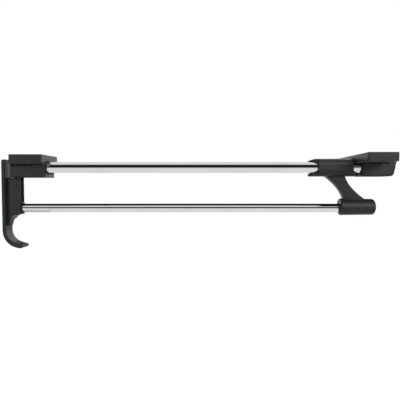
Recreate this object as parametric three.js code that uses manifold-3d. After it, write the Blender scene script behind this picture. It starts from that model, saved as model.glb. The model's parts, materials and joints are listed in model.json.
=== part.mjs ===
// A pull-out valet rod for a closet, screwed to the underside of a shelf.
// Two brackets hold an oval guide tube. A carriage slides along it and carries a thinner round
// rod below, and a handle with a long curved lip on the rod's front end pulls it out.
// Millimetres, +Z up. +X runs along the tubes to the rear, +Y across them.
// The origin is on the shelf's underside, at the middle of the front bracket's flange.
import * as THREE from 'three';
import { mergeVertices } from 'three/addons/utils/BufferGeometryUtils.js';
import Module from 'manifold-3d';

const wasm = await Module();
wasm.setup();

// Driving dimensions
const GUIDE_Z = -13.7;
const ROD_Z = -59.6;
const REAR_X = 376;
const GAP = 0.3;
const BODY_CORNER = 2;
const guide = {
  width: 19, height: 12, bulge: 2.8, wall: 1.5, frontDepth: 34.5, rearDepth: 30, insertLength: 25.5,
};
const rod = { radius: 5, wall: 1.2, frontDepth: 9.7, rearDepth: 28, insertLength: 15 };
const front = {
  length: 35.8, width: 39.4, thickness: 10.5, outerReach: 21.5, bodyWidth: 25.6, bodyDrop: 11.3,
  hole: { x: 1, y: 16.05, radius: 1.8, seatRadius: 3.1, seatDepth: 2 },
  pocket: { x: -7.2, z: -11.6, length: 23, height: 2.2, depth: 2 },
  filletLength: 11.2, lockX: 3,
};
const rear = {
  length: 31.4, width: 92.8, thickness: 9.2, innerSetback: 8.8, bodyLength: 37.4, bodyWidth: 25.6,
  bodyDrop: 10.1,
  hole: { x: REAR_X + 8.5, y: 24, radius: 2.2, seatRadius: 5.2, seatDepth: 4.5 },
  pocket: { x: REAR_X + 15, z: -9.6, length: 12.8, height: 1.6, depth: 2 },
  filletLength: 8.7, lockX: REAR_X + 10.1,
};
const sleeve = {
  length: 38.2, width: 25.6, height: 19.9, corner: 7.5, lipReach: 9.2, lipWidth: 19.2, lipFall: 2.4,
  boreClearance: 0.7,
};
const arm = { thickness: 9.4, edge: 0.9 };
const barrel = {
  offset: 26.7, length: 35, radius: 9.45, endRadius: 9.05, rise: 1.4, capLength: 4.2, headRoom: 3,
};
const block = {
  width: 13.6, length: 10.7, neck: 4.6, neckWidth: 7, corner: 3.6, topGap: 0.3,
  hollowWidth: 6, hollowDepth: 8.1, bossRadius: 6.3, bossReach: 1,
};
const plate = {
  width: 14, thickness: 4, innerX: -29.5, topRise: 9.1, bendDrop: 24.4, tipX: -11.3, screwRise: 22,
};
const cover = { radius: 4.6, thickness: 0.5, inset: 0.1 };
const buffer = { thickness: 1.1, standOff: 0.8, inset: 3 };
const bush = { thickness: 1.2, length: 13, inset: 1, split: 1 };
const screw = { shank: 1.8, head: 3.5, headHeight: 1.9, lockingSeat: 3, plateSeat: 3.1 };

// Places worked out from them
const frontInnerX = front.length / 2;
const rearInnerX = REAR_X - rear.length / 2 + rear.innerSetback;
const rearOuterX = rearInnerX + rear.bodyLength;
const guideFrontX = frontInnerX - guide.frontDepth;
const guideRearX = rearInnerX + guide.rearDepth;
const carriageRearX = rearInnerX - buffer.standOff - GAP - sleeve.lipReach;
const carriageFrontX = carriageRearX - sleeve.length;
const frontBushX = carriageFrontX + bush.inset;
const rearBushX = carriageRearX - bush.inset - bush.length;
const barrelFrontX = carriageFrontX + barrel.offset;
const barrelRearX = barrelFrontX + barrel.length;
const barrelZ = ROD_Z + barrel.rise;
const plateOuterX = plate.innerX - plate.thickness;
const plateScrewZ = ROD_Z + plate.screwRise;
const blockRearX = plate.innerX + block.neck + block.length + GAP;
const blockTop = GUIDE_Z - front.bodyDrop - block.topGap;
const rodFrontX = blockRearX - rod.frontDepth;
const rodRearX = barrelFrontX + rod.rearDepth;

// Finishes seen in the photograph
const finishes = {
  blackPlastic: { color: '#1d1d1e', roughness: 0.42, metalness: 0 },
  blackNylon: { color: '#141414', roughness: 0.55, metalness: 0 },
  rubber: { color: '#0c0c0c', roughness: 0.85, metalness: 0 },
  chrome: { color: '#e6e8ea', roughness: 0.06, metalness: 1 },
  steel: { color: '#a9acb0', roughness: 0.35, metalness: 1 },
};

// Turns a closed three.js geometry into a solid, with its faces pointing out
function toSolid(geometry) {
  const bare = geometry.clone();
  bare.deleteAttribute('normal');
  bare.deleteAttribute('uv');
  const merged = mergeVertices(bare, 1e-4);
  const points = merged.attributes.position;
  const corners = [new THREE.Vector3(), new THREE.Vector3(), new THREE.Vector3()];
  const triangles = [];
  let volume = 0;
  for (let i = 0; i < merged.index.count; i += 3) {
    const [a, b, c] = [0, 1, 2].map((k) => merged.index.getX(i + k));
    if (a === b || b === c || c === a) continue;
    [a, b, c].forEach((index, k) => corners[k].fromBufferAttribute(points, index));
    volume += corners[0].dot(corners[1].clone().cross(corners[2]));
    triangles.push([a, b, c]);
  }
  const facing = volume > 0 ? triangles : triangles.map(([a, b, c]) => [a, c, b]);
  return new wasm.Manifold(new wasm.Mesh({
    numProp: 3,
    vertProperties: new Float32Array(points.array),
    triVerts: new Uint32Array(facing.flat()),
  }));
}

function toGeometry(solid) {
  const mesh = solid.getMesh();
  const geometry = new THREE.BufferGeometry();
  geometry.setAttribute('position', new THREE.BufferAttribute(new Float32Array(mesh.vertProperties), 3));
  geometry.setIndex(new THREE.BufferAttribute(new Uint32Array(mesh.triVerts), 1));
  geometry.computeVertexNormals();
  return geometry;
}

const AXIS_X = new THREE.Vector3(1, 0, 0);
const AXIS_Y = new THREE.Vector3(0, 1, 0);
const AXIS_Z = new THREE.Vector3(0, 0, 1);

// Extrudes an outline between two places along an axis, with its end edges rounded by edge
function extrude(shape, from, to, edge, steps) {
  return new THREE.ExtrudeGeometry(shape, {
    depth: to - from - 2 * edge,
    bevelEnabled: edge > 0,
    bevelThickness: edge,
    bevelSize: edge,
    bevelOffset: -edge,
    bevelSegments: 2,
    curveSegments: steps,
  });
}

// The outline is drawn in (y, z)
function alongX(shape, from, to, edge = 0, steps = 12) {
  const geometry = extrude(shape, from, to, edge, steps);
  geometry.applyMatrix4(new THREE.Matrix4().makeBasis(AXIS_Y, AXIS_Z, AXIS_X));
  geometry.translate(from + edge, 0, 0);
  return toSolid(geometry);
}

// The outline is drawn in (x, z)
function alongY(shape, from, to, edge = 0, steps = 12) {
  const geometry = extrude(shape, from, to, edge, steps);
  geometry.applyMatrix4(new THREE.Matrix4().makeBasis(AXIS_X, AXIS_Z, AXIS_Y.clone().negate()));
  geometry.translate(0, to - edge, 0);
  return toSolid(geometry);
}

// The outline is drawn in (x, y)
function alongZ(shape, from, to, edge = 0, steps = 12) {
  const geometry = extrude(shape, from, to, edge, steps);
  geometry.translate(0, 0, from + edge);
  return toSolid(geometry);
}

function roundedRect(centreX, centreY, width, height, radius) {
  const [left, right] = [centreX - width / 2, centreX + width / 2];
  const [bottom, top] = [centreY - height / 2, centreY + height / 2];
  const shape = new THREE.Shape();
  shape.absarc(right - radius, bottom + radius, radius, -Math.PI / 2, 0);
  shape.absarc(right - radius, top - radius, radius, 0, Math.PI / 2);
  shape.absarc(left + radius, top - radius, radius, Math.PI / 2, Math.PI);
  shape.absarc(left + radius, bottom + radius, radius, Math.PI, 1.5 * Math.PI);
  shape.closePath();
  return shape;
}

// The guide tube's outline grown by a clearance: flat above and below, with gently bulging sides
function guideOval(clearance) {
  const reach = guide.width / 2 - guide.bulge;
  const depth = guide.bulge + clearance;
  const rise = guide.height / 2 + clearance;
  const shape = new THREE.Shape();
  shape.absellipse(reach, GUIDE_Z, depth, rise, -Math.PI / 2, Math.PI / 2, false);
  shape.absellipse(-reach, GUIDE_Z, depth, rise, Math.PI / 2, 1.5 * Math.PI, false);
  shape.closePath();
  return shape;
}

// A body of revolution about +Z from (radius, height) pairs that start and end on the axis
function turned(profile, segments = 24) {
  const points = profile.map(([radius, height]) => new THREE.Vector2(radius, height));
  const geometry = new THREE.LatheGeometry(points, segments);
  geometry.rotateX(Math.PI / 2);
  return geometry;
}

// Puts a body turned about +Z at a place, with its axis along a direction
function aimed(geometry, place, direction) {
  const turn = new THREE.Quaternion().setFromUnitVectors(AXIS_Z, direction.clone().normalize());
  geometry.applyQuaternion(turn);
  geometry.translate(place.x, place.y, place.z);
  return toSolid(geometry);
}

function cylinder(radius, place, direction, length, segments = 28) {
  return aimed(turned([[0, 0], [radius, 0], [radius, length], [0, length]], segments), place, direction);
}

function at(x, y, z) {
  return new THREE.Vector3(x, y, z);
}

const UP = AXIS_Z;
const REARWARD = AXIS_X;
const FORWARD = AXIS_X.clone().negate();

// The sides of the box-like lower part of a bracket: straight down, with round bottom edges
function bodySection(width, bottom) {
  const half = width / 2;
  const [arcY, arcZ] = [half - BODY_CORNER, bottom + BODY_CORNER];
  const shape = new THREE.Shape();
  shape.moveTo(half, -2);
  shape.lineTo(-half, -2);
  shape.absarc(-arcY, arcZ, BODY_CORNER, Math.PI, 1.5 * Math.PI);
  shape.absarc(arcY, arcZ, BODY_CORNER, -Math.PI / 2, 0);
  shape.closePath();
  return shape;
}

// The fillet that carries the flange down into the side of the body, on both sides
function filletSection(flangeHalf, bodyHalf, top, drop) {
  const reach = flangeHalf - bodyHalf;
  const shape = new THREE.Shape();
  shape.moveTo(flangeHalf, top + 1);
  shape.lineTo(-flangeHalf, top + 1);
  shape.lineTo(-flangeHalf, top);
  shape.absellipse(-flangeHalf, top - drop, reach, drop, Math.PI / 2, 0, true);
  shape.lineTo(bodyHalf, top - drop);
  shape.absellipse(flangeHalf, top - drop, reach, drop, Math.PI, Math.PI / 2, true);
  shape.closePath();
  return shape;
}

// A hole up through a flange for a shelf screw, with a seat for its head and room below to turn it
function shelfScrewHole(hole, side, thickness) {
  const below = 20;
  const shank = cylinder(hole.radius, at(hole.x, side * hole.y, -thickness - 1), UP, thickness + 2);
  const seatStart = at(hole.x, side * hole.y, -thickness - below);
  return shank.add(cylinder(hole.seatRadius, seatStart, UP, below + hole.seatDepth));
}

// The blind oval socket that takes the end of the guide tube, with a wider mouth for the buffer
function guideSocket(mouthX, direction, depth) {
  const start = mouthX - direction;
  const deep = mouthX + direction * (depth + GAP);
  const seat = mouthX + direction * (buffer.inset + GAP);
  const mouth = guideOval(GAP + buffer.thickness + GAP);
  const bore = alongX(guideOval(GAP), Math.min(deep, start), Math.max(deep, start));
  return bore.add(alongX(mouth, Math.min(seat, start), Math.max(seat, start)));
}

// The hole below a bracket for the screw that holds the guide tube
function lockingHole(x, bottom) {
  const shank = cylinder(screw.shank + GAP, at(x, 0, bottom - 1), UP, guide.height, 20);
  return shank.add(cylinder(screw.head + GAP, at(x, 0, bottom - 1), UP, 1 + screw.lockingSeat));
}

// A narrow pocket in the side of a bracket's body, just under the flange
function sidePocket(pocket, bodyWidth, side) {
  const { x, z, length, height, depth } = pocket;
  const outline = roundedRect(x, z, length, height, height / 2 - 0.1);
  const inner = side * (bodyWidth / 2 - depth);
  const outer = side * (bodyWidth / 2 + 2);
  return alongY(outline, Math.min(inner, outer), Math.max(inner, outer), 0, 4);
}

function frontBracket() {
  const bottom = GUIDE_Z - front.bodyDrop;
  const flange = alongZ(roundedRect(0, 0, front.length, front.width, 1.4), -front.thickness, 0, 0.6, 6);
  const bodyLength = front.outerReach + frontInnerX;
  const plan = roundedRect(frontInnerX - bodyLength / 2, 0, bodyLength, front.bodyWidth, 3);
  const body = alongX(bodySection(front.bodyWidth, bottom), -front.outerReach, frontInnerX, 0.5)
    .intersect(alongZ(plan, bottom - 1, 0, 0, 6));
  const fillet = filletSection(front.width / 2 - 0.3, front.bodyWidth / 2 - 0.2, 0.3 - front.thickness, 5.5);
  let bracket = flange.add(body);
  bracket = bracket.add(alongX(fillet, frontInnerX - 0.2 - front.filletLength, frontInnerX - 0.2));
  for (const side of [-1, 1]) {
    bracket = bracket.subtract(sidePocket(front.pocket, front.bodyWidth, side));
    bracket = bracket.subtract(shelfScrewHole(front.hole, side, front.thickness));
  }
  return bracket
    .subtract(guideSocket(frontInnerX, -1, guide.frontDepth))
    .subtract(lockingHole(front.lockX, bottom));
}

// The rear bracket's side view: its outer end leans in towards the bottom
function rearBodySide(bottom) {
  const shape = new THREE.Shape();
  shape.moveTo(rearInnerX, 0);
  shape.lineTo(rearInnerX, bottom);
  shape.lineTo(rearOuterX - 8.5, bottom);
  shape.quadraticCurveTo(rearOuterX - 4, bottom, rearOuterX - 3.4, bottom + 4);
  shape.lineTo(rearOuterX - 2, bottom + 10);
  shape.quadraticCurveTo(rearOuterX - 1.6, -8.6, rearOuterX, -7.4);
  shape.lineTo(rearOuterX, 0);
  shape.closePath();
  return shape;
}

function rearBracket() {
  const bottom = GUIDE_Z - rear.bodyDrop;
  const flange = alongZ(roundedRect(REAR_X, 0, rear.length, rear.width, 1.4), -rear.thickness, 0, 0.6, 6);
  const half = rear.bodyWidth / 2;
  const body = alongX(bodySection(rear.bodyWidth, bottom), rearInnerX, rearOuterX, 0.5)
    .intersect(alongY(rearBodySide(bottom), -half - 1, half + 1));
  // A rounded tongue closes the top of the body behind the flange
  const tongueLength = rearOuterX - REAR_X;
  const tongueX = REAR_X + tongueLength / 2;
  const tongue = alongZ(roundedRect(tongueX, 0, tongueLength, rear.bodyWidth, 4), -6, 0, 0.6, 6);
  const fillet = filletSection(half + 6.5, half - 0.2, 0.3 - rear.thickness, 4);
  const filletX = rearInnerX + 0.3;
  let bracket = flange.add(body).add(tongue).add(alongX(fillet, filletX, filletX + rear.filletLength));
  for (const side of [-1, 1]) {
    bracket = bracket.subtract(sidePocket(rear.pocket, rear.bodyWidth, side));
    bracket = bracket.subtract(shelfScrewHole(rear.hole, side, rear.thickness));
  }
  // A recess in the flange's front edge lets the tube and the carriage's upper lip in
  const recess = roundedRect(0, GUIDE_Z, sleeve.width + 1, sleeve.height + 1, sleeve.corner);
  return bracket
    .subtract(alongX(recess, REAR_X - rear.length / 2 - 1, rearInnerX, 0, 8))
    .subtract(guideSocket(rearInnerX, 1, guide.rearDepth))
    .subtract(lockingHole(rear.lockX, bottom));
}

function guideTube() {
  const tube = alongX(guideOval(0), guideFrontX, guideRearX, 0, 14)
    .subtract(alongX(guideOval(-guide.wall), guideFrontX - 1, guideRearX + 1, 0, 14));
  const bottom = GUIDE_Z - guide.height / 2 - 1;
  return tube
    .subtract(cylinder(screw.shank + GAP, at(front.lockX, 0, bottom), UP, 4, 20))
    .subtract(cylinder(screw.shank + GAP, at(rear.lockX, 0, bottom), UP, 4, 20));
}

// The plug inside a tube end that the locking screw bites into
function guideInsert(fromX, screwX) {
  const bottom = GUIDE_Z - guide.height / 2;
  const bore = cylinder(screw.shank + GAP, at(screwX, 0, bottom), UP, guide.height / 2 + 2, 20);
  return alongX(guideOval(-guide.wall - GAP), fromX, fromX + guide.insertLength, 0, 8).subtract(bore);
}

// A pan-head screw with a cross recess, its head at a place and its shank along a direction
function crossScrew(place, direction, length) {
  const { head, headHeight, shank } = screw;
  const profile = [
    [0, -headHeight], [0.45 * head, 0.1 - headHeight], [0.77 * head, 0.7 - headHeight],
    [head, -0.5], [head, 0], [shank, 0], [shank, length - 1], [shank - 1, length], [0, length],
  ];
  let body = aimed(turned(profile, 16), place, direction);
  const slot = { width: 0.8, length: 3.6, height: 2.4 };
  for (const [width, depth] of [[slot.width, slot.length], [slot.length, slot.width]]) {
    const bar = new THREE.BoxGeometry(width, depth, slot.height);
    bar.translate(0, 0, 0.3 - headHeight);
    body = body.subtract(aimed(bar, place, direction));
  }
  return body;
}

// The screw's tip ends just above the middle of the guide tube
function guideScrew(x, bodyDrop) {
  const headZ = GUIDE_Z - bodyDrop + screw.lockingSeat - GAP;
  return crossScrew(at(x, 0, headZ), UP, GUIDE_Z + 1 - headZ);
}

// A rubber ring round the guide tube, half inside a bracket's mouth, that the carriage runs up to
function bufferRing(mouthX, direction) {
  const outer = mouthX - direction * buffer.standOff;
  const inner = mouthX + direction * buffer.inset;
  const [from, to] = [Math.min(outer, inner), Math.max(outer, inner)];
  return alongX(guideOval(GAP + buffer.thickness), from, to)
    .subtract(alongX(guideOval(GAP), from - 1, to + 1));
}

// The outline of the arm between the sleeve and the barrel: both edges are hollow curves
function armSide() {
  const [x, top, bottom] = [carriageFrontX, GUIDE_Z - sleeve.height / 2 + 3, ROD_Z + 6];
  const shape = new THREE.Shape();
  shape.moveTo(x + 4.5, top);
  shape.lineTo(x + 11.1, GUIDE_Z - 10.6);
  shape.quadraticCurveTo(x + 26.6, GUIDE_Z - 22.4, x + 30.5, GUIDE_Z - 33.9);
  shape.lineTo(x + 31, bottom);
  shape.lineTo(x + 58, bottom);
  shape.lineTo(x + 53, GUIDE_Z - 34.6);
  shape.quadraticCurveTo(x + 35.9, GUIDE_Z - 22.3, x + 32, GUIDE_Z - 10.6);
  shape.lineTo(x + 31.5, top);
  shape.closePath();
  return shape;
}

// A straight sleeve with a rounded lip above and below the tube at each end
function sleeveBlock() {
  const section = roundedRect(0, GUIDE_Z, sleeve.width, sleeve.height, sleeve.corner);
  const [from, to] = [carriageFrontX, carriageRearX];
  const middle = (from + to) / 2;
  const plan = new THREE.Shape();
  plan.moveTo(from, -sleeve.width);
  plan.lineTo(to, -sleeve.width);
  plan.lineTo(to, -sleeve.lipWidth / 2);
  plan.absellipse(to, 0, sleeve.lipReach, sleeve.lipWidth / 2, -Math.PI / 2, Math.PI / 2, false);
  plan.lineTo(to, sleeve.width);
  plan.lineTo(from, sleeve.width);
  plan.lineTo(from, sleeve.lipWidth / 2);
  plan.absellipse(from, 0, sleeve.lipReach, sleeve.lipWidth / 2, Math.PI / 2, 1.5 * Math.PI, false);
  plan.closePath();
  const reach = sleeve.length / 2 + sleeve.lipReach;
  const half = sleeve.height / 2;
  return alongX(section, middle - reach - 1, middle + reach + 1, 0, 8)
    .intersect(alongZ(plan, GUIDE_Z - sleeve.height, GUIDE_Z + sleeve.height, 0, 14))
    .intersect(alongY(lipSide(middle, reach, half), -sleeve.width, sleeve.width, 0, 6));
}

// The sleeve's side view: its top falls away towards the tip of each lip
function lipSide(middle, reach, half) {
  const [top, bottom] = [GUIDE_Z + half, GUIDE_Z - half];
  const tipTop = top - sleeve.lipFall;
  const straight = sleeve.length / 2;
  const shape = new THREE.Shape();
  shape.moveTo(middle - straight, top);
  shape.quadraticCurveTo(middle - straight - 5, top - 0.4, middle - reach, tipTop);
  shape.lineTo(middle - reach, bottom + 0.8);
  shape.lineTo(middle - reach + 1.6, bottom);
  shape.lineTo(middle + reach - 1.6, bottom);
  shape.lineTo(middle + reach, bottom + 0.8);
  shape.lineTo(middle + reach, tipTop);
  shape.quadraticCurveTo(middle + straight + 5, top - 0.4, middle + straight, top);
  shape.closePath();
  return shape;
}

function carriage() {
  const lower = aimed(turned([
    [0, 0], [barrel.radius - 1.2, 0], [barrel.radius - 0.4, 0.4], [barrel.radius, 1.2],
    [barrel.endRadius, barrel.length], [0, barrel.length],
  ], 40), at(barrelFrontX, 0, barrelZ), REARWARD);
  const armSolid = alongY(armSide(), -arm.thickness / 2, arm.thickness / 2, arm.edge, 14);
  const bore = alongX(guideOval(sleeve.boreClearance), carriageFrontX - 20, carriageRearX + 20, 0, 14);
  const rodStart = at(barrelFrontX - 1, 0, ROD_Z);
  const headStart = at(barrelRearX - barrel.headRoom, 0, ROD_Z);
  return sleeveBlock().add(lower).add(armSolid)
    .subtract(bore)
    .subtract(bushSeat(frontBushX))
    .subtract(bushSeat(rearBushX))
    .subtract(cylinder(rod.radius + GAP, rodStart, REARWARD, rod.rearDepth + 1 + GAP, 32))
    .subtract(cylinder(screw.shank + GAP, rodStart, REARWARD, barrel.length + 2, 20))
    .subtract(cylinder(screw.head + 1, headStart, REARWARD, barrel.headRoom + 1));
}

// The groove inside the sleeve that a bush springs into
function bushSeat(fromX) {
  return alongX(guideOval(GAP + bush.thickness + GAP), fromX - GAP, fromX + bush.length + GAP, 0, 14);
}

// A liner that runs on the guide tube, split along its underside so that it springs into its seat
function glideBush(fromX) {
  const toX = fromX + bush.length;
  const split = new THREE.BoxGeometry(bush.length + 2, bush.split, guide.height);
  split.translate((fromX + toX) / 2, 0, GUIDE_Z - guide.height / 2);
  return alongX(guideOval(GAP + bush.thickness), fromX, toX, 0, 14)
    .subtract(alongX(guideOval(GAP), fromX - 1, toX + 1, 0, 14))
    .subtract(toSolid(split));
}

function rearRodScrew() {
  return crossScrew(at(barrelRearX - barrel.headRoom + GAP, 0, ROD_Z), FORWARD, 14);
}

// The domed cap that closes the barrel's rear end over the screw head
function barrelCap() {
  const [radius, length] = [barrel.endRadius, barrel.capLength];
  const profile = [
    [0, 0], [radius, 0], [radius - 0.1, length - 2.4], [radius - 0.7, length - 1.1],
    [radius - 1.9, length - 0.3], [radius - 3.6, length], [0, length],
  ];
  return aimed(turned(profile, 40), at(barrelRearX + GAP, 0, barrelZ), REARWARD);
}

function hangingRod() {
  const [radius, bore, length] = [rod.radius, rod.radius - rod.wall, rodRearX - rodFrontX];
  const edge = 0.3;
  return aimed(turned([
    [bore, 0], [radius - edge, 0], [radius, edge], [radius, length - edge],
    [radius - edge, length], [bore, length], [bore, 0],
  ], 48), at(rodFrontX, 0, ROD_Z), REARWARD);
}

// A plug inside a rod end, bored for the screw that holds the rod
function rodInsert(mouthX, direction) {
  const bore = screw.shank + GAP;
  const outer = rod.radius - rod.wall - GAP;
  const length = rod.insertLength;
  return aimed(turned([
    [0, length], [0, length - 3], [bore, length - 3], [bore, 0], [outer, 0],
    [outer, length - 1], [outer - 0.8, length], [0, length],
  ], 28), at(mouthX, 0, ROD_Z), direction);
}

// The handle's plate seen from the side: straight, then curved back under into a lip
function plateSide() {
  const top = GUIDE_Z + plate.topRise;
  const bend = ROD_Z - plate.bendDrop;
  const tipX = plate.tipX;
  const [outer, inner] = [plateOuterX, plate.innerX];
  const shape = new THREE.Shape();
  shape.moveTo(inner, top);
  shape.lineTo(outer + 2, top);
  shape.quadraticCurveTo(outer + 0.1, top - 0.2, outer, top - 2.4);
  shape.lineTo(outer, bend);
  shape.bezierCurveTo(outer, bend - 13, outer + 9.5, bend - 20.2, tipX - 2.4, bend - 20.8);
  shape.quadraticCurveTo(tipX + 0.3, bend - 20.4, tipX + 0.3, bend - 18);
  shape.quadraticCurveTo(tipX + 0.3, bend - 16.7, tipX - 1, bend - 16.6);
  shape.bezierCurveTo(inner + 7.7, bend - 14.8, inner, bend - 10.5, inner, bend);
  shape.closePath();
  return shape;
}

function handlePlate() {
  let solid = alongY(plateSide(), -plate.width / 2, plate.width / 2, 0.8, 14);
  for (const z of [plateScrewZ, ROD_Z]) {
    const start = at(plateOuterX - 1, 0, z);
    solid = solid
      .subtract(cylinder(screw.shank + GAP, start, REARWARD, plate.thickness + 2, 20))
      .subtract(cylinder(cover.radius + GAP, start, REARWARD, 1 + screw.plateSeat));
  }
  return solid;
}

// The block behind the plate: its lower edge sweeps down into the plate in a hollow curve
function blockSide() {
  const bottom = ROD_Z - 7.3;
  const neckX = plate.innerX + GAP;
  const tip = { width: 1.8, drop: 12.5 };
  const shape = new THREE.Shape();
  shape.moveTo(neckX, blockTop);
  shape.lineTo(neckX, bottom - tip.drop);
  shape.lineTo(neckX + tip.width, bottom - tip.drop);
  shape.quadraticCurveTo(neckX + tip.width + 2.3, bottom - 0.4, blockRearX - 2.6, bottom);
  shape.lineTo(blockRearX, bottom + 0.6);
  shape.lineTo(blockRearX, blockTop);
  shape.closePath();
  return shape;
}

// A groove down one side of the block, which leaves a narrower neck against the plate
function neckGroove(side) {
  const neckRearX = plate.innerX + block.neck;
  const outside = side * (block.width / 2 + 1);
  const outline = new THREE.Shape();
  outline.moveTo(plate.innerX - 1, side * block.neckWidth / 2);
  outline.lineTo(neckRearX, side * block.neckWidth / 2);
  outline.lineTo(neckRearX + 0.9, outside);
  outline.lineTo(plate.innerX - 1, outside);
  outline.closePath();
  return alongZ(outline, ROD_Z - 40, blockTop + 1);
}

// The block is hollow above the rod's socket, and open towards the rod and at the top.
// A low round boss stands out of its end face where the rod goes in.
function handleBlock() {
  const half = block.width / 2;
  const socketTop = ROD_Z + 7.2;
  const hollowHeight = blockTop + 3 - socketTop;
  const hollow = roundedRect(0, socketTop + hollowHeight / 2, block.hollowWidth, hollowHeight, 1);
  const planLength = 2 * (blockRearX - plate.innerX);
  const plan = roundedRect(blockRearX - planLength / 2, 0, planLength, block.width, block.corner);
  const bossRoot = 5;
  const boss = cylinder(
    block.bossRadius, at(blockRearX - bossRoot, 0, ROD_Z), REARWARD, bossRoot + block.bossReach, 32,
  );
  const neckStart = (z) => at(plate.innerX, 0, z);
  return alongY(blockSide(), -half, half, 0.5, 14)
    .intersect(alongZ(plan, ROD_Z - 40, blockTop + 1, 0, 8))
    .add(boss)
    .subtract(neckGroove(-1))
    .subtract(neckGroove(1))
    .subtract(alongX(hollow, blockRearX - block.hollowDepth, blockRearX + 1, 0, 4))
    .subtract(cylinder(rod.radius + GAP, at(rodFrontX - GAP, 0, ROD_Z), REARWARD, rod.frontDepth + 2, 32))
    .subtract(cylinder(screw.shank + GAP, neckStart(ROD_Z), REARWARD, 8, 20))
    .subtract(cylinder(screw.shank + GAP, neckStart(plateScrewZ), REARWARD, 12, 20));
}

function plateScrew(z, length) {
  return crossScrew(at(plateOuterX + screw.plateSeat - GAP, 0, z), REARWARD, length);
}

// A thin round cover that hides a screw head in the plate
function coverCap(z) {
  const { radius, thickness, inset } = cover;
  const profile = [[0, 0], [radius - 0.3, 0], [radius, 0.3], [radius, thickness], [0, thickness]];
  return aimed(turned(profile, 32), at(plateOuterX + inset, 0, z), REARWARD);
}

const group = new THREE.Group();

function place(name, solid, finish) {
  const mesh = new THREE.Mesh(toGeometry(solid), new THREE.MeshStandardMaterial(finishes[finish]));
  mesh.name = name;
  group.add(mesh);
}

// Fixed to the shelf
place('front_bracket', frontBracket(), 'blackPlastic');
place('rear_bracket', rearBracket(), 'blackPlastic');
place('guide_tube', guideTube(), 'chrome');
place('front_guide_insert', guideInsert(guideFrontX + 0.5, front.lockX), 'blackNylon');
place('rear_guide_insert', guideInsert(guideRearX - guide.insertLength - 0.5, rear.lockX), 'blackNylon');
place('front_guide_screw', guideScrew(front.lockX, front.bodyDrop), 'steel');
place('rear_guide_screw', guideScrew(rear.lockX, rear.bodyDrop), 'steel');
place('front_buffer', bufferRing(frontInnerX, -1), 'rubber');
place('rear_buffer', bufferRing(rearInnerX, 1), 'rubber');

// Slides along the guide tube
place('carriage', carriage(), 'blackPlastic');
place('front_glide_bush', glideBush(frontBushX), 'blackNylon');
place('rear_glide_bush', glideBush(rearBushX), 'blackNylon');
place('barrel_cap', barrelCap(), 'blackPlastic');
place('hanging_rod', hangingRod(), 'chrome');
place('front_rod_insert', rodInsert(rodFrontX + 0.5, REARWARD), 'blackNylon');
place('rear_rod_insert', rodInsert(rodRearX - 0.5, FORWARD), 'blackNylon');
place('rear_rod_screw', rearRodScrew(), 'steel');
place('handle_block', handleBlock(), 'blackPlastic');
place('handle_plate', handlePlate(), 'blackPlastic');
place('front_rod_screw', plateScrew(ROD_Z, 18), 'steel');
place('plate_screw', plateScrew(plateScrewZ, 7), 'steel');
place('rod_screw_cover', coverCap(ROD_Z), 'blackPlastic');
place('plate_screw_cover', coverCap(plateScrewZ), 'blackPlastic');

export default group;
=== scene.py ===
import json
import math

import bmesh
import bpy
from mathutils import Matrix, Vector

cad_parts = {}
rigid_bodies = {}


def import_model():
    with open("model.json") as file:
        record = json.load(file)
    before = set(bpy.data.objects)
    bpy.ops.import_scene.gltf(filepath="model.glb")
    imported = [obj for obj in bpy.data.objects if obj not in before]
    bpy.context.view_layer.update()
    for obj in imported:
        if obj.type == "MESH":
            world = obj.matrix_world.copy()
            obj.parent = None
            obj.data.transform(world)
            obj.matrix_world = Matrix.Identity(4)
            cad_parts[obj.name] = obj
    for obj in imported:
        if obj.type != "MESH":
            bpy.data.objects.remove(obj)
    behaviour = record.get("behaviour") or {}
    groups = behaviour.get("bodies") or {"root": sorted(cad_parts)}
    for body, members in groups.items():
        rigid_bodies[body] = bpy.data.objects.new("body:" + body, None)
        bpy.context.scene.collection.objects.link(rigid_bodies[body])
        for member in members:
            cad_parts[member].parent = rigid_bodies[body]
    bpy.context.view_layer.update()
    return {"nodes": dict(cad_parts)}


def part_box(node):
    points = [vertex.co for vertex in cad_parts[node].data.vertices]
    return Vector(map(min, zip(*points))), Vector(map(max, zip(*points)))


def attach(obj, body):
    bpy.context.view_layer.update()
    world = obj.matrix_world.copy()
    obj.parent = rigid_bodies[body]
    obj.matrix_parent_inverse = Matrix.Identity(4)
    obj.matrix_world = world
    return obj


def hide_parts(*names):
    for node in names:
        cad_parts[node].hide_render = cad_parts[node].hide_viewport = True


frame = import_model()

scene = bpy.context.scene
MM = 0.001

# Driving sizes that the boxes of the nodes don't give
GUIDE_BULGE = 2.8 * MM
GUIDE_WALL = 1.5 * MM
ROD_WALL = 1.2 * MM
GAP = 0.3 * MM
BUFFER_THICKNESS = 1.1 * MM

# Screws. The thread keeps a distance from the head and from the tip, and the tip's radius is a share of
# the core's
SHANK_RADIUS = 1.8 * MM
HEAD_RADIUS = 3.5 * MM
HEAD_HEIGHT = 1.9 * MM
HEAD_RIM = 0.25 * MM
HEAD_CHAMFER = 0.1 * MM
RECESS_WIDTH = 0.8 * MM
RECESS_REACH = 3.4 * MM
RECESS_DEPTH = 1.3 * MM
THREAD_PITCH = 1.3 * MM
THREAD_DEPTH = 0.22 * MM
THREAD_FROM_HEAD = 0.5 * MM
THREAD_FROM_TIP = 1.1 * MM
TIP_LENGTH = 1.2 * MM
TIP_SHARE = 0.35

# Faces that turn by fewer degrees than the first count as one, and edges that turn by more than the
# second are rounded, in this many steps
FLAT_ANGLE = 0.6
SHARP_ANGLE = 28
EDGE_STEPS = 3

# Radii of the rounded edges, by the kind of piece
MOULDED_EDGE = 0.35 * MM
THIN_EDGE = 0.2 * MM
COVER_EDGE = 0.12 * MM
TUBE_EDGE = 0.25 * MM
RUBBER_EDGE = 0.5 * MM

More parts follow.
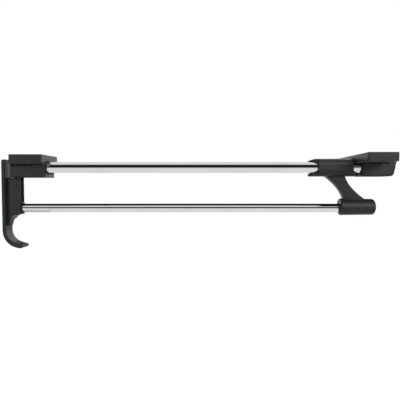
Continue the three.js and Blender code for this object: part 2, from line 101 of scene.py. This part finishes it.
# Points that are closer than this are one
SAME_POINT = 0.001 * MM

# The handle block runs closer under the front bracket than the solids' gap, and no light shows between
TOP_RISE = 0.2 * MM

# Sizes of the marks that making leaves in the surfaces
MOULD_GRAIN = 0.35 * MM
MOULD_FLOW = 15 * MM
PARTING_LINE = 0.12 * MM
BUFFING_LINE = 0.6 * MM
CHROME_FILM = 30 * MM
RUBBER_BLOOM = 4 * MM
RUBBER_PORE = 0.3 * MM
ZINC_CLOUD = 1.2 * MM

# The specular level of grained nylon, where 0.5 is that of a polished face
NYLON_SHEEN = 0.13

# The camera of the photograph, solved from its vanishing point: pixels, metres and degrees
PICTURE = 400
PRINCIPAL_POINT = (216.6, 197.5)
FOCAL_PIXELS = 350
CAMERA_PLACE = (0.2076, -0.399, -0.0336)
CAMERA_TILT = -2


def add(tree, kind, inputs=None, **settings):
    """Adds a node with its settings, and gives its inputs values or links."""
    node = tree.nodes.new(kind)
    for name, value in settings.items():
        setattr(node, name, value)
    for name, value in (inputs or {}).items():
        if isinstance(value, bpy.types.NodeSocket):
            tree.links.new(value, node.inputs[name])
        else:
            node.inputs[name].default_value = value
    return node


def linear(hex_colour):
    """An sRGB hex colour as linear red, green, blue and alpha."""
    shares = [int(hex_colour[place:place + 2], 16) / 255 for place in (1, 3, 5)]
    return [*(s / 12.92 if s <= 0.04045 else ((s + 0.055) / 1.055) ** 2.4 for s in shares), 1]


# Materials

# A noise keeps near its middle, and this part of it counts as the whole
MIDDLE = {"From Min": 0.3, "From Max": 0.7}

# Where a mix node takes its two colours, and where it gives the mixed one
FIRST_COLOUR = 6
SECOND_COLOUR = 7
MIXED_COLOUR = 2


def new_material(name):
    material = bpy.data.materials.new(name)
    material.use_nodes = True
    tree = material.node_tree
    tree.nodes.clear()
    return material, tree


def mottled(tree, pattern, dark, light, smoothest, roughest):
    """A colour and a roughness that change together with a soft pattern."""
    share = add(tree, "ShaderNodeMapRange", {"Value": pattern, **MIDDLE})
    colour = add(tree, "ShaderNodeMix", {
        "Factor": share.outputs["Result"], FIRST_COLOUR: linear(dark), SECOND_COLOUR: linear(light),
    }, data_type="RGBA")
    roughness = add(tree, "ShaderNodeMapRange", {
        "Value": pattern, **MIDDLE, "To Min": smoothest, "To Max": roughest,
    })
    return colour.outputs[MIXED_COLOUR], roughness.outputs["Result"]


def moulded_nylon(name, dark, light, smoothest, roughest, parting=False):
    """Glass-filled nylon from a spark-eroded steel mould: a fine grain that breaks the highlights into
    a satin sheen, and flow marks some 15 mm wide where the sheen changes a little.
    The grain of the real part is about 0.1 mm and would not show, so it is drawn coarser."""
    material, tree = new_material(name)
    place = add(tree, "ShaderNodeTexCoord").outputs["Object"]
    flow = add(tree, "ShaderNodeTexNoise", {"Vector": place, "Scale": 1 / MOULD_FLOW}).outputs["Fac"]
    grain = add(tree, "ShaderNodeTexNoise", {
        "Vector": place, "Scale": 1 / MOULD_GRAIN, "Detail": 3.0, "Roughness": 0.6,
    }).outputs["Fac"]
    height = grain
    if parting:
        # The two halves of the mould meet on the object's middle plane and leave a hair line there
        sideways = add(tree, "ShaderNodeSeparateXYZ", {"Vector": place}).outputs["Y"]
        distance = add(tree, "ShaderNodeMath", {0: sideways}, operation="ABSOLUTE").outputs[0]
        line = add(tree, "ShaderNodeMapRange", {
            "Value": distance, "From Min": 0.0, "From Max": PARTING_LINE, "To Min": 2.0, "To Max": 0.0,
        }, interpolation_type="SMOOTHSTEP").outputs["Result"]
        height = add(tree, "ShaderNodeMath", {0: grain, 1: line}, operation="ADD").outputs[0]
    bump = add(tree, "ShaderNodeBump", {"Strength": 0.25, "Distance": 0.03 * MM, "Height": height})
    colour, roughness = mottled(tree, flow, dark, light, smoothest, roughest)
    shader = add(tree, "ShaderNodeBsdfPrincipled", {
        "Base Color": colour,
        "Roughness": roughness,
        "IOR": 1.52,
        "Specular IOR Level": NYLON_SHEEN,
        "Normal": bump.outputs["Normal"],
    })
    add(tree, "ShaderNodeOutputMaterial", {"Surface": shader.outputs[0]})
    return material


def chromed_steel(name):
    """Steel tube, ground and buffed along its length and bright chromed: a mirror, with the finest of
    buffing lines that only blur a reflection's edge, under a film that is a little uneven.
    The real lines are finer than 0.1 mm and would not show, so they are drawn coarser."""
    material, tree = new_material(name)
    place = add(tree, "ShaderNodeTexCoord").outputs["Object"]
    # The lines' pattern is drawn out fifty times along X
    along = add(tree, "ShaderNodeMapping", {"Vector": place, "Scale": (0.02, 1, 1)}).outputs["Vector"]
    lines = add(tree, "ShaderNodeTexNoise", {
        "Vector": along, "Scale": 1 / BUFFING_LINE, "Detail": 4.0,
    }).outputs["Fac"]
    film = add(tree, "ShaderNodeTexNoise", {"Vector": place, "Scale": 1 / CHROME_FILM}).outputs["Fac"]
    colour, haze = mottled(tree, film, "#c8cacd", "#cfd1d3", 0.0, 0.02)
    streaks = add(tree, "ShaderNodeMapRange", {
        "Value": lines, **MIDDLE, "To Min": 0.025, "To Max": 0.035,
    }).outputs["Result"]
    roughness = add(tree, "ShaderNodeMath", {0: streaks, 1: haze}, operation="ADD").outputs[0]
    bump = add(tree, "ShaderNodeBump", {"Strength": 0.05, "Distance": 0.005 * MM, "Height": lines})
    shader = add(tree, "ShaderNodeBsdfPrincipled", {
        "Base Color": colour,
        "Metallic": 1.0,
        "Roughness": roughness,
        "Normal": bump.outputs["Normal"],
    })
    add(tree, "ShaderNodeOutputMaterial", {"Surface": shader.outputs[0]})
    return material


def dull_rubber(name):
    """Moulded black rubber: no sheen, and a powdery, uneven black."""
    material, tree = new_material(name)
    place = add(tree, "ShaderNodeTexCoord").outputs["Object"]
    bloom = add(tree, "ShaderNodeTexNoise", {
        "Vector": place, "Scale": 1 / RUBBER_BLOOM, "Detail": 4.0,
    }).outputs["Fac"]
    pores = add(tree, "ShaderNodeTexNoise", {"Vector": place, "Scale": 1 / RUBBER_PORE}).outputs["Fac"]
    bump = add(tree, "ShaderNodeBump", {"Strength": 0.3, "Distance": 0.04 * MM, "Height": pores})
    colour, roughness = mottled(tree, bloom, "#0f0f0f", "#181818", 0.75, 0.9)
    shader = add(tree, "ShaderNodeBsdfPrincipled", {
        "Base Color": colour,
        "Roughness": roughness,
        "IOR": 1.52,
        "Normal": bump.outputs["Normal"],
    })
    add(tree, "ShaderNodeOutputMaterial", {"Surface": shader.outputs[0]})
    return material


def zinc_plated_steel(name):
    """Cold-headed steel with bright zinc: a soft metal shine with faint cloudy patches."""
    material, tree = new_material(name)
    place = add(tree, "ShaderNodeTexCoord").outputs["Object"]
    cloud = add(tree, "ShaderNodeTexNoise", {
        "Vector": place, "Scale": 1 / ZINC_CLOUD, "Detail": 3.0,
    }).outputs["Fac"]
    bump = add(tree, "ShaderNodeBump", {"Strength": 0.1, "Distance": 0.02 * MM, "Height": cloud})
    colour, roughness = mottled(tree, cloud, "#b4b7ba", "#c8cacc", 0.24, 0.38)
    shader = add(tree, "ShaderNodeBsdfPrincipled", {
        "Base Color": colour,
        "Metallic": 1.0,
        "Roughness": roughness,
        "Normal": bump.outputs["Normal"],
    })
    add(tree, "ShaderNodeOutputMaterial", {"Surface": shader.outputs[0]})
    return material


# The two blacks that the outer mouldings' flow marks run between. The brackets have the dullest sheen, and
# the handle, which hands polish, the brightest
OUTER_BLACKS = ("#1b1b1c", "#202021")
bracket_black = moulded_nylon("moulded_nylon_brackets", *OUTER_BLACKS, 0.40, 0.48)
slider_black = moulded_nylon("moulded_nylon_slider", *OUTER_BLACKS, 0.36, 0.44, parting=True)
handle_black = moulded_nylon("moulded_nylon_handle", *OUTER_BLACKS, 0.34, 0.42, parting=True)
inner_black = moulded_nylon("natural_nylon_black", "#161616", "#1b1b1b", 0.48, 0.58)
chrome = chromed_steel("bright_chromed_steel")
rubber = dull_rubber("moulded_rubber")
zinc = zinc_plated_steel("zinc_plated_steel")


# Shapes

def new_piece(name, mesh, material):
    piece = bpy.data.objects.new(name, mesh)
    scene.collection.objects.link(piece)
    mesh.materials.clear()
    mesh.materials.append(material)
    return piece


def stand_for(piece, node):
    """Shows a piece in the place of its node, by hiding the node."""
    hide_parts(node)
    return piece


def smooth(piece, angle=30):
    """Smooth shading that stops at edges sharper than the angle."""
    for polygon in piece.data.polygons:
        polygon.use_smooth = True
    piece.data.set_sharp_from_angle(angle=math.radians(angle))


def settle(piece):
    """Turns a piece's modifiers into its plain mesh."""
    graph = bpy.context.evaluated_depsgraph_get()
    graph.update()
    mesh = bpy.data.meshes.new_from_object(piece.evaluated_get(graph))
    piece.modifiers.clear()
    piece.data = mesh


def cut(piece, *cutters):
    """Cuts other pieces out of a piece, and removes them."""
    for cutter in cutters:
        boolean = piece.modifiers.new("Cut", "BOOLEAN")
        boolean.operation = "DIFFERENCE"
        boolean.object = cutter
    settle(piece)
    for cutter in cutters:
        bpy.data.objects.remove(cutter)


def lathe(name, profile, material, segments=48):
    """Turns (radius, height) pairs that start and end on the axis about +Z."""
    work = bmesh.new()
    points = [work.verts.new((radius, 0, height)) for radius, height in profile]
    edges = [work.edges.new(pair) for pair in zip(points, points[1:])]
    bmesh.ops.spin(work, geom=points + edges, cent=(0, 0, 0), axis=(0, 0, 1), angle=math.tau,
                   steps=segments, use_merge=True)
    bmesh.ops.remove_doubles(work, verts=work.verts, dist=SAME_POINT)
    bmesh.ops.recalc_face_normals(work, faces=work.faces)
    mesh = bpy.data.meshes.new(name)
    work.to_mesh(mesh)
    work.free()
    return new_piece(name, mesh, material)


def aim(piece, place, direction):
    """Lays a piece made along +Z along a direction, in its mesh."""
    turn = Vector((0, 0, 1)).rotation_difference(Vector(direction)).to_matrix().to_4x4()
    piece.data.transform(Matrix.Translation(place) @ turn)
    return piece


def moulding(node, name, material, edge=MOULDED_EDGE):
    """A moulded piece over its node: the same shape with every sharp edge rounded."""
    work = bmesh.new()
    work.from_mesh(frame["nodes"][node].data)
    bmesh.ops.remove_doubles(work, verts=work.verts, dist=SAME_POINT)
    bmesh.ops.dissolve_limit(work, angle_limit=math.radians(FLAT_ANGLE), verts=work.verts, edges=work.edges)
    mesh = bpy.data.meshes.new(name)
    work.to_mesh(mesh)
    work.free()
    piece = new_piece(name, mesh, material)
    bevel = piece.modifiers.new("Edges", "BEVEL")
    bevel.width = edge
    bevel.segments = EDGE_STEPS
    bevel.limit_method = "ANGLE"
    bevel.angle_limit = math.radians(SHARP_ANGLE)
    settle(piece)
    smooth(piece)
    # The broad faces keep their own direction, so that they shade flat up to their rounded edges
    normals = piece.modifiers.new("Flat faces", "WEIGHTED_NORMAL")
    normals.keep_sharp = True
    settle(piece)
    return stand_for(piece, node)


def raise_top(piece, rise):
    """Lifts the top of a piece and the rounded edges round it."""
    top = max(vertex.co.z for vertex in piece.data.vertices)
    for vertex in piece.data.vertices:
        if vertex.co.z > top - 2 * MOULDED_EDGE:
            vertex.co.z += rise


# The guide tube and its rubber rings: all have one outline, grown or shrunk by a clearance

guide_low, guide_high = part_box("guide_tube")
guide_z = (guide_low.z + guide_high.z) / 2


def outline_points(clearance, steps):
    """The guide tube's outline in (y, z): flat above and below, with gently bulging sides."""
    reach = (guide_high.y - guide_low.y) / 2 - GUIDE_BULGE
    depth = GUIDE_BULGE + clearance
    rise = (guide_high.z - guide_low.z) / 2 + clearance
    turns = [math.pi * (step / steps - 0.5) for step in range(steps + 1)]
    side = [(reach + depth * math.cos(turn), rise * math.sin(turn)) for turn in turns]
    return side + [(-y, -z) for y, z in side]


def wall_section(start, end, inner, outer, edge, edge_steps, breaks=()):
    """A wall cut lengthwise, as (place, clearance) pairs, with its four corners rounded."""
    corners = (
        (end - edge, outer - edge, sorted(breaks, reverse=True), outer),
        (start + edge, outer - edge, (), outer),
        (start + edge, inner + edge, sorted(breaks), inner),
        (end - edge, inner + edge, (), inner),
    )
    pairs = []
    for number, (place, clearance, along, face) in enumerate(corners):
        for step in range(edge_steps + 1):
            turn = math.pi / 2 * (number + step / edge_steps)
            pairs.append((place + edge * math.cos(turn), clearance + edge * math.sin(turn)))
        pairs += [(at, face) for at in along]
    return pairs


def outline_loft(name, section, material, steps):
    """Carries the guide tube's outline round a wall's section."""
    work = bmesh.new()
    loops = [
        [work.verts.new((place, y, guide_z + z)) for y, z in outline_points(clearance, steps)]
        for place, clearance in section
    ]
    for loop, following in zip(loops, loops[1:] + loops[:1]):
        for corners in zip(loop, loop[1:] + loop[:1], following[1:] + following[:1], following):
            work.faces.new(corners)
    bmesh.ops.recalc_face_normals(work, faces=work.faces)
    mesh = bpy.data.meshes.new(name)
    work.to_mesh(mesh)
    work.free()
    return new_piece(name, mesh, material)


def locking_drill(node):
    """The hole for a locking screw through the guide tube's lower wall, and a little past both its faces."""
    low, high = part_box(node)
    radius = SHANK_RADIUS + GAP
    spare = 1 * MM
    depth = GUIDE_WALL + 2 * spare
    drill = lathe("drill", [(0, 0), (radius, 0), (radius, depth), (0, depth)], chrome, segments=32)
    middle = (low + high) / 2
    return aim(drill, (middle.x, middle.y, guide_low.z - spare), (0, 0, 1))


def guide_tube_piece():
    """The guide tube. Its surface is divided beside each screw hole, to keep the long faces whole."""
    screws = ("front_guide_screw", "rear_guide_screw")
    margin = 1 * MM
    breaks = []
    for node in screws:
        low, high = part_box(node)
        breaks += [low.x - margin, high.x + margin]
    section = wall_section(guide_low.x, guide_high.x, -GUIDE_WALL, 0, TUBE_EDGE, edge_steps=2, breaks=breaks)
    tube = outline_loft("guide_tube_chromed", section, chrome, steps=28)
    cut(tube, *(locking_drill(node) for node in screws))
    smooth(tube)
    return stand_for(tube, "guide_tube")


def buffer_piece(node, name):
    """A rubber ring with full round edges, in the place of its node."""
    low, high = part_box(node)
    section = wall_section(low.x, high.x, GAP, GAP + BUFFER_THICKNESS, RUBBER_EDGE, edge_steps=4)
    piece = outline_loft(name, section, rubber, steps=20)
    smooth(piece)
    return stand_for(piece, node)


# The round rod

def tree_with(name, floats, whole=()):
    """A Geometry Nodes tree with named inputs for its sizes and a material."""
    tree = bpy.data.node_groups.new(name, "GeometryNodeTree")
    for label in floats:
        tree.interface.new_socket(label, in_out="INPUT", socket_type="NodeSocketFloat")
    for label in whole:
        tree.interface.new_socket(label, in_out="INPUT", socket_type="NodeSocketInt")
    tree.interface.new_socket("Finish", in_out="INPUT", socket_type="NodeSocketMaterial")
    tree.interface.new_socket("Geometry", in_out="OUTPUT", socket_type="NodeSocketGeometry")
    return tree


def end_tree(tree, shape, sizes):
    """Ends a tree: the shape becomes plain geometry with the tree's material."""
    real = add(tree, "GeometryNodeRealizeInstances", {"Geometry": shape})
    coloured = add(tree, "GeometryNodeSetMaterial", {
        "Geometry": real.outputs[0], "Material": sizes["Finish"],
    })
    add(tree, "NodeGroupOutput", {"Geometry": coloured.outputs[0]})


def round_tube_tree():
    """Sweeps a strip, as long as the tube and as thick as its wall, round a circle."""
    tree = tree_with("round_tube", ("Radius", "Length", "Wall", "Edge"), ("Edge Steps", "Round Steps"))
    sizes = add(tree, "NodeGroupInput").outputs
    half_wall = add(tree, "ShaderNodeMath", {0: sizes["Wall"], 1: 0.5}, operation="MULTIPLY").outputs[0]
    middle = add(tree, "ShaderNodeMath", {0: sizes["Radius"], 1: half_wall}, operation="SUBTRACT").outputs[0]
    path = add(tree, "GeometryNodeCurvePrimitiveCircle", {
        "Resolution": sizes["Round Steps"], "Radius": middle,
    })
    strip = add(tree, "GeometryNodeCurvePrimitiveQuadrilateral", {
        "Width": sizes["Wall"], "Height": sizes["Length"],
    })
    section = add(tree, "GeometryNodeFilletCurve", {
        "Curve": strip.outputs[0], "Radius": sizes["Edge"], "Count": sizes["Edge Steps"],
    }, mode="POLY")
    swept = add(tree, "GeometryNodeCurveToMesh", {
        "Curve": path.outputs[0], "Profile Curve": section.outputs[0],
    })
    end_tree(tree, swept.outputs[0], sizes)
    return tree


def from_tree(name, tree, material, sizes):
    """The plain mesh that a tree makes from its named sizes."""
    piece = new_piece(name, bpy.data.meshes.new(name), material)
    modifier = piece.modifiers.new("Shape", "NODES")
    modifier.node_group = tree
    values = {**sizes, "Finish": material}
    for item in tree.interface.items_tree:
        if item.in_out == "INPUT":
            modifier[item.identifier] = values[item.name]
    settle(piece)
    return piece


# Lays a piece made along +Z along +X
ALONG_X = Matrix(((0, 0, 1, 0), (1, 0, 0, 0), (0, 1, 0, 0), (0, 0, 0, 1)))


def rod_piece(node, name):
    """A round tube in the place of its node, with the node's thickness and length."""
    low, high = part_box(node)
    size = high - low
    piece = from_tree(name, round_tube_tree(), chrome, {
        "Radius": size.z / 2, "Length": size.x, "Wall": ROD_WALL, "Edge": TUBE_EDGE,
        "Edge Steps": 2, "Round Steps": 96,
    })
    piece.data.transform(Matrix.Translation((low + high) / 2) @ ALONG_X)
    smooth(piece)
    return stand_for(piece, node)


# Screws

def thread_tree():
    """Sweeps a pointed section along a helix: the thread of a screw, along +Z."""
    tree = tree_with("screw_thread", ("Length", "Pitch", "Radius", "Depth"))
    sizes = add(tree, "NodeGroupInput").outputs
    turns = add(tree, "ShaderNodeMath", {0: sizes["Length"], 1: sizes["Pitch"]}, operation="DIVIDE")
    helix = add(tree, "GeometryNodeCurveSpiral", {
        "Resolution": 20, "Rotations": turns.outputs[0], "Start Radius": sizes["Radius"],
        "End Radius": sizes["Radius"], "Height": sizes["Length"],
    })
    section = add(tree, "GeometryNodeCurvePrimitiveCircle", {"Resolution": 3, "Radius": sizes["Depth"]})
    swept = add(tree, "GeometryNodeCurveToMesh", {
        "Curve": helix.outputs[0], "Profile Curve": section.outputs[0], "Fill Caps": True,
    })
    end_tree(tree, swept.outputs[0], sizes)
    return tree


threads = thread_tree()


def recess_bar(along_x, along_y):
    """One bar of the cross that is cut into a screw's head, half of it above the head."""
    work = bmesh.new()
    size = Matrix.Diagonal((along_x, along_y, 2 * RECESS_DEPTH, 1))
    bmesh.ops.create_cube(work, size=1, matrix=Matrix.Translation((0, 0, -HEAD_HEIGHT)) @ size)
    mesh = bpy.data.meshes.new("bar")
    work.to_mesh(mesh)
    work.free()
    return new_piece("bar", mesh, zinc)


def pan_screw(node, name, direction):
    """A pan-head screw with a cross recess and a cut thread, in the place of its node. It is made along
    +Z, with the underside of its head at 0."""
    low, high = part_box(node)
    along = Vector(direction)
    axis = max(range(3), key=lambda number: abs(along[number]))
    length = high[axis] - low[axis] - HEAD_HEIGHT
    core = SHANK_RADIUS - THREAD_DEPTH
    # The head's top, a little flatter than a dome, from its middle outwards
    dome = [
        (HEAD_RADIUS * math.sin(math.radians(turn)), -HEAD_HEIGHT * math.cos(math.radians(turn)) ** 0.8)
        for turn in range(0, 81, 10)
    ]
    screw = lathe(name, dome + [
        (HEAD_RADIUS, -HEAD_RIM), (HEAD_RADIUS - HEAD_CHAMFER, 0), (SHANK_RADIUS, 0),
        (core, THREAD_FROM_HEAD), (core, length - TIP_LENGTH), (core * TIP_SHARE, length), (0, length),
    ], zinc)
    cut(screw, recess_bar(RECESS_WIDTH, RECESS_REACH), recess_bar(RECESS_REACH, RECESS_WIDTH))
    thread = from_tree(name + "_thread", threads, zinc, {
        "Length": length - THREAD_FROM_HEAD - THREAD_FROM_TIP, "Pitch": THREAD_PITCH,
        "Radius": core, "Depth": THREAD_DEPTH,
    })
    thread.data.transform(Matrix.Translation((0, 0, THREAD_FROM_HEAD)))
    work = bmesh.new()
    work.from_mesh(screw.data)
    work.from_mesh(thread.data)
    work.to_mesh(screw.data)
    work.free()
    bpy.data.objects.remove(thread)
    place = (low + high) / 2
    place[axis] = (low[axis] + HEAD_HEIGHT) if along[axis] > 0 else (high[axis] - HEAD_HEIGHT)
    aim(screw, place, along)
    smooth(screw, angle=35)
    return stand_for(screw, node)


# Fixed to the shelf
front_bracket = moulding("front_bracket", "front_bracket_moulding", bracket_black)
rear_bracket = moulding("rear_bracket", "rear_bracket_moulding", bracket_black)
guide_tube = guide_tube_piece()
front_insert = moulding("front_guide_insert", "front_guide_plug", inner_black)
rear_insert = moulding("rear_guide_insert", "rear_guide_plug", inner_black)
front_lock = pan_screw("front_guide_screw", "front_locking_screw", (0, 0, 1))
rear_lock = pan_screw("rear_guide_screw", "rear_locking_screw", (0, 0, 1))
front_buffer = buffer_piece("front_buffer", "front_buffer_ring")
rear_buffer = buffer_piece("rear_buffer", "rear_buffer_ring")
for piece in (front_bracket, rear_bracket, guide_tube, front_insert, rear_insert, front_lock, rear_lock,
              front_buffer, rear_buffer):
    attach(piece, "mounting")

# Slides along the guide tube
carriage = moulding("carriage", "carriage_moulding", slider_black)
front_bush = moulding("front_glide_bush", "front_bush_liner", inner_black, THIN_EDGE)
rear_bush = moulding("rear_glide_bush", "rear_bush_liner", inner_black, THIN_EDGE)
barrel_cap = moulding("barrel_cap", "barrel_end_cap", slider_black, THIN_EDGE)
hanging_rod = rod_piece("hanging_rod", "hanging_rod_chromed")
front_plug = moulding("front_rod_insert", "front_rod_plug", inner_black)
rear_plug = moulding("rear_rod_insert", "rear_rod_plug", inner_black)
rear_screw = pan_screw("rear_rod_screw", "rear_rod_fixing_screw", (-1, 0, 0))
handle_block = moulding("handle_block", "handle_block_moulding", handle_black)
raise_top(handle_block, TOP_RISE)
handle_plate = moulding("handle_plate", "handle_plate_moulding", handle_black)
front_screw = pan_screw("front_rod_screw", "front_rod_fixing_screw", (1, 0, 0))
plate_screw = pan_screw("plate_screw", "plate_fixing_screw", (1, 0, 0))
rod_cover = moulding("rod_screw_cover", "rod_screw_cover_cap", handle_black, COVER_EDGE)
plate_cover = moulding("plate_screw_cover", "plate_screw_cover_cap", handle_black, COVER_EDGE)
for piece in (carriage, front_bush, rear_bush, barrel_cap, hanging_rod, front_plug, rear_plug, rear_screw,
              handle_block, handle_plate, front_screw, plate_screw, rod_cover, plate_cover):
    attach(piece, "pull_out")


# Studio

FLOOR_Z = -0.4
FLOOR_LOW = (-5, -3.5)
FLOOR_HIGH = (5, 7)

# In the picture and in reflections, this share of the floor is a glow, and the rest a sheet that is lit
FLOOR_GLOW_SHARE = 0.9
FLOOR_GLOW = 1.1

# The soft boxes: name, place, the point it is aimed at, width, height and power in watts
SOFT_BOXES = (
    ("left_softbox", (-1.1, -1.1, 0.42), (0, 0, 0), 1.1, 1.0, 13),
    ("right_softbox", (1.5, -1.1, 0.42), (0.38, 0, 0), 1.1, 1.0, 14),
    ("front_softbox", (0.72, -1.02, 0.5), (0.34, 0, 0), 0.9, 0.7, 12),
    ("rear_softbox", (0.48, 1.15, 0.45), (0.3, 0, 0), 1.5, 1.3, 16),
)

# Brightness of the room round the tubes, by the height in degrees at which it lies before (0), over (90)
# and behind (180) them. The dark parts, in front and behind, give the chrome its dark bands.
ROOM = (
    (-180, 1.0), (-4, 1.0), (2, 0.02), (30, 0.02), (37, 1.05),
    (145, 1.05), (152, 0.02), (172, 0.02), (178, 1.0),
)

# The ramp holds the room's brightness as shares of this scale, because a colour ends at 1
ROOM_SCALE = 1.1

# The even light that the room sheds on everything that isn't a mirror
AMBIENT = 0.14

# The card over the round rod, a painted reflection that only mirrors see: how far it lies above the rod's
# middle, and reaches before it, behind it and past its ends
CARD_RISE = 12 * MM
CARD_FRONT = 6.5 * MM
CARD_BACK = 60 * MM
CARD_PAST = 40 * MM


def level_sheet(name, low, high, height, material):
    """A level rectangle of the studio, between two (x, y) corners."""
    corners = [(low[0], low[1]), (high[0], low[1]), (high[0], high[1]), (low[0], high[1])]
    mesh = bpy.data.meshes.new(name)
    mesh.from_pydata([(x, y, height) for x, y in corners], [], [(0, 1, 2, 3)])
    piece = new_piece(name, mesh, material)
    return piece


def ray_kinds(tree):
    """Two sockets: 1 for rays from the camera, and 1 for rays that a surface mirrors or lets through."""
    path = add(tree, "ShaderNodeLightPath").outputs
    mirrored = add(tree, "ShaderNodeMath", {
        0: path["Is Glossy Ray"], 1: path["Is Transmission Ray"],
    }, operation="MAXIMUM").outputs[0]
    return path["Is Camera Ray"], mirrored


def pale_floor():
    """Matt white sheet, with light of its own in the picture and in reflections so that it shows white."""
    material, tree = new_material("pale_floor_sheet")
    camera_ray, mirrored = ray_kinds(tree)
    either = add(tree, "ShaderNodeMath", {0: camera_ray, 1: mirrored}, operation="MAXIMUM").outputs[0]
    share = add(tree, "ShaderNodeMath", {0: either, 1: FLOOR_GLOW_SHARE}, operation="MULTIPLY").outputs[0]
    sheet = add(tree, "ShaderNodeBsdfDiffuse", {"Color": linear("#e8e8e8")})
    glow = add(tree, "ShaderNodeEmission", {"Strength": FLOOR_GLOW})
    shader = add(tree, "ShaderNodeMixShader", {0: share, 1: sheet.outputs[0], 2: glow.outputs[0]})
    add(tree, "ShaderNodeOutputMaterial", {"Surface": shader.outputs[0]})
    return material


def studio_room():
    """The room that the chrome mirrors, with a low, even light on everything else."""
    world = bpy.data.worlds.new("studio_room")
    scene.world = world
    world.use_nodes = True
    tree = world.node_tree
    tree.nodes.clear()
    direction = add(tree, "ShaderNodeTexCoord").outputs["Generated"]
    parts = add(tree, "ShaderNodeSeparateXYZ", {"Vector": direction}).outputs
    forward = add(tree, "ShaderNodeMath", {0: parts["Y"], 1: -1.0}, operation="MULTIPLY").outputs[0]
    height = add(tree, "ShaderNodeMath", {0: parts["Z"], 1: forward}, operation="ARCTAN2").outputs[0]
    turn = add(tree, "ShaderNodeMapRange", {
        "Value": height, "From Min": -math.pi, "From Max": math.pi,
    }).outputs["Result"]
    ramp = add(tree, "ShaderNodeValToRGB", {"Fac": turn})
    stops = ramp.color_ramp.elements
    while len(stops) < len(ROOM):
        stops.new(0.5)
    for stop, (degrees, level) in zip(stops, ROOM):
        stop.position = (degrees + 180) / 360
        stop.color = (*[level / ROOM_SCALE] * 3, 1)
    room = add(tree, "ShaderNodeMath", {0: ramp.outputs["Color"], 1: ROOM_SCALE}, operation="MULTIPLY")
    camera_ray, mirrored = ray_kinds(tree)
    lit = add(tree, "ShaderNodeMix", {"Factor": mirrored, "A": AMBIENT, "B": room.outputs[0]})
    level = add(tree, "ShaderNodeMix", {"Factor": camera_ray, "A": lit.outputs[0], "B": 1.0})
    background = add(tree, "ShaderNodeBackground", {
        "Color": linear("#ffffff"), "Strength": level.outputs[0],
    })
    add(tree, "ShaderNodeOutputWorld", {"Surface": background.outputs[0]})


def softbox(name, place, target, width, height, power):
    """A lamp as large as a soft box, aimed at a target, that lights only the collection it is meant for."""
    light = bpy.data.lights.new(name, "AREA")
    light.shape = "RECTANGLE"
    light.size = width
    light.size_y = height
    light.energy = power
    lamp = bpy.data.objects.new(name, light)
    scene.collection.objects.link(lamp)
    lamp.location = place
    lamp.rotation_euler = (Vector(target) - Vector(place)).to_track_quat("-Z", "Y").to_euler()
    lamp.light_linking.receiver_collection = lit_by_boxes


def painted_reflection_card():
    """A card over the round rod, like a studio's, but a painted reflection that only mirrors see: black
    below, it paints the dark line along the rod's top, and glowing white above, it paints the guide tube's
    underside bright.
    It shows in reflections alone, and casts no shadow."""
    material, tree = new_material("painted_reflection_card_white_above_black_below")
    below = add(tree, "ShaderNodeNewGeometry").outputs["Backfacing"]
    level = add(tree, "ShaderNodeMath", {0: 1.0, 1: below}, operation="SUBTRACT").outputs[0]
    # Painted reflection: a white glow on the top side and black on the underside, for the mirrors to show
    shader = add(tree, "ShaderNodeEmission", {"Strength": level})
    add(tree, "ShaderNodeOutputMaterial", {"Surface": shader.outputs[0]})
    low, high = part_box("hanging_rod")
    front_left = (low.x - CARD_PAST, -CARD_FRONT)
    back_right = (high.x + CARD_PAST, CARD_BACK)
    card = level_sheet("painted_reflection_card", front_left, back_right, (low.z + high.z) / 2 + CARD_RISE, material)
    # The painted reflection is hidden from the camera, from diffuse light and from shadows
    card.visible_camera = False
    card.visible_diffuse = False
    card.visible_shadow = False


def photo_camera():
    """The camera of the photograph, shifted so that its principal point lies where the photo's does."""
    data = bpy.data.cameras.new("photo_camera")
    data.sensor_width = 36
    data.lens = data.sensor_width * FOCAL_PIXELS / PICTURE
    data.shift_x = (PICTURE / 2 - PRINCIPAL_POINT[0]) / PICTURE
    data.shift_y = (PRINCIPAL_POINT[1] - PICTURE / 2) / PICTURE
    data.clip_start = 0.01
    camera = bpy.data.objects.new("photo_camera", data)
    scene.collection.objects.link(camera)
    camera.location = CAMERA_PLACE
    camera.rotation_euler = (math.radians(90 + CAMERA_TILT), 0, 0)
    scene.camera = camera


level_sheet("floor", FLOOR_LOW, FLOOR_HIGH, FLOOR_Z, pale_floor())

# The soft boxes light everything but the chrome, which shows the plain room instead
lit_by_boxes = bpy.data.collections.new("lit_by_the_soft_boxes")
for piece in list(scene.collection.objects):
    if piece.type == "MESH" and chrome.name not in piece.data.materials:
        lit_by_boxes.objects.link(piece)

studio_room()
for box in SOFT_BOXES:
    softbox(*box)
painted_reflection_card()
photo_camera()
scene.view_settings.view_transform = "Standard"
